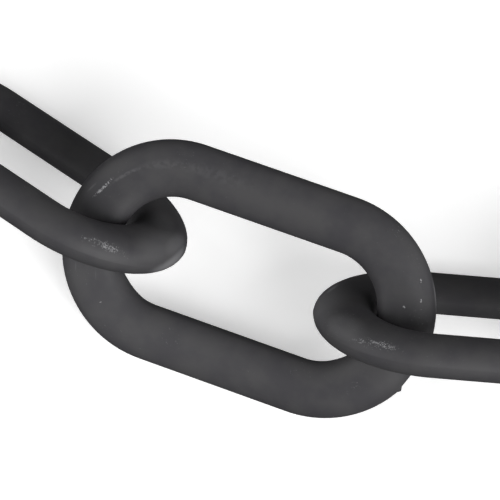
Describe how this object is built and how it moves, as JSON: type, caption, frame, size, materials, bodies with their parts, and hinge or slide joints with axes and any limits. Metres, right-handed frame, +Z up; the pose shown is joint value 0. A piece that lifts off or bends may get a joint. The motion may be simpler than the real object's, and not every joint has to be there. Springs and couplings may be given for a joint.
{
  "type": "plastic barrier chain",
  "caption": "Length of plastic barrier chain laid out in a curve: oval moulded links hooked through each other, hung between posts to rope off an area.",
  "frame": {"origin": "on the floor, under the middle of the box round the laid-out chain", "axes": "+Z up from the floor; +X along the middle link of the chain; both ends of the chain lie towards +Y"},
  "size_m": [0.3962, 0.409, 0.0216],
  "materials": {
    "chain_plastic": "satin dark grey plastic, lightly scuffed"
  },
  "bodies": {
    "root": {"link_01": "chain_plastic", "link_02": "chain_plastic", "link_03": "chain_plastic", "link_04": "chain_plastic", "link_05": "chain_plastic", "link_06": "chain_plastic", "link_07": "chain_plastic", "link_08": "chain_plastic", "link_09": "chain_plastic", "link_10": "chain_plastic", "link_11": "chain_plastic", "link_12": "chain_plastic", "link_13": "chain_plastic", "link_14": "chain_plastic", "link_15": "chain_plastic", "link_16": "chain_plastic", "link_17": "chain_plastic", "link_18": "chain_plastic", "link_19": "chain_plastic", "link_20": "chain_plastic", "link_21": "chain_plastic", "link_22": "chain_plastic", "link_23": "chain_plastic", "link_24": "chain_plastic", "link_25": "chain_plastic", "link_26": "chain_plastic", "link_27": "chain_plastic"}
  },
  "joints": []
}
